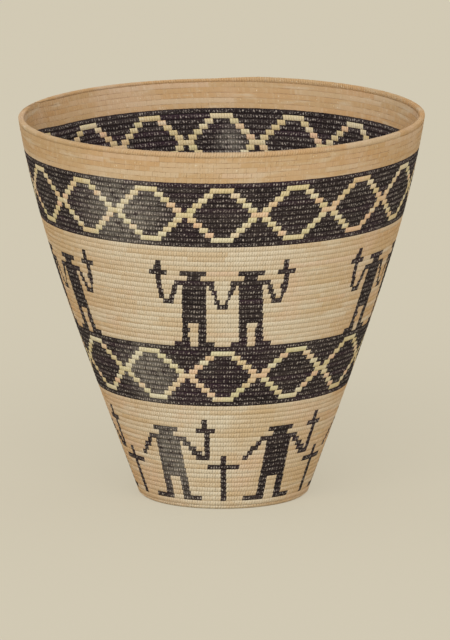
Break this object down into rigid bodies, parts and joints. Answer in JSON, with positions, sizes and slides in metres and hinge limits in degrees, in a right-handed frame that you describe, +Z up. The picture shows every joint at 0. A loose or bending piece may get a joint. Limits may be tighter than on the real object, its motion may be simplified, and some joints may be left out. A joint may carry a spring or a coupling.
{
  "type": "coiled basket",
  "caption": "Flaring round basket of sewn coil with a flat base, a plain rim, two bands of diamonds, and standing figures and crosses set into the wall.",
  "frame": {"origin": "on the floor, under the middle of the base", "axes": "+Z up through the mouth, the front of the basket faces -Y, +X to the right of someone facing that front"},
  "size_m": [0.3681, 0.368, 0.35],
  "materials": {
    "light_sewing": "plant fibre, tan, satin",
    "cream_sewing": "plant fibre, pale yellow, satin",
    "dark_sewing": "plant fibre, near black, satin"
  },
  "bodies": {
    "root": {"base_coil": "light_sewing", "figure_pair_1": "dark_sewing", "figure_pair_2": "dark_sewing", "figure_pair_3": "dark_sewing", "figure_pair_4": "dark_sewing", "figure_pair_5": "dark_sewing", "heel_coil": "light_sewing", "lower_bottom_teeth": "dark_sewing", "lower_cross_1": "dark_sewing", "lower_cross_2": "dark_sewing", "lower_cross_3": "dark_sewing", "lower_cross_4": "dark_sewing", "lower_cross_5": "dark_sewing", "lower_cross_6": "dark_sewing", "lower_diamond_1": "dark_sewing", "lower_diamond_10": "dark_sewing", "lower_diamond_11": "dark_sewing", "lower_diamond_12": "dark_sewing", "lower_diamond_2": "dark_sewing", "lower_diamond_3": "dark_sewing", "lower_diamond_4": "dark_sewing", "lower_diamond_5": "dark_sewing", "lower_diamond_6": "dark_sewing", "lower_diamond_7": "dark_sewing", "lower_diamond_8": "dark_sewing", "lower_diamond_9": "dark_sewing", "lower_lattice": "cream_sewing", "lower_man_1": "dark_sewing", "lower_man_2": "dark_sewing", "lower_man_3": "dark_sewing", "lower_man_4": "dark_sewing", "lower_man_5": "dark_sewing", "lower_man_6": "dark_sewing", "lower_top_teeth": "dark_sewing", "lower_wall": "light_sewing", "middle_wall": "light_sewing", "rim_coil": "light_sewing", "rim_wall": "light_sewing", "start_knot": "light_sewing", "upper_bottom_teeth": "dark_sewing", "upper_diamond_1": "dark_sewing", "upper_diamond_10": "dark_sewing", "upper_diamond_11": "dark_sewing", "upper_diamond_12": "dark_sewing", "upper_diamond_13": "dark_sewing", "upper_diamond_14": "dark_sewing", "upper_diamond_15": "dark_sewing", "upper_diamond_16": "dark_sewing", "upper_diamond_2": "dark_sewing", "upper_diamond_3": "dark_sewing", "upper_diamond_4": "dark_sewing", "upper_diamond_5": "dark_sewing", "upper_diamond_6": "dark_sewing", "upper_diamond_7": "dark_sewing", "upper_diamond_8": "dark_sewing", "upper_diamond_9": "dark_sewing", "upper_lattice": "cream_sewing", "upper_top_teeth": "dark_sewing"}
  },
  "joints": []
}
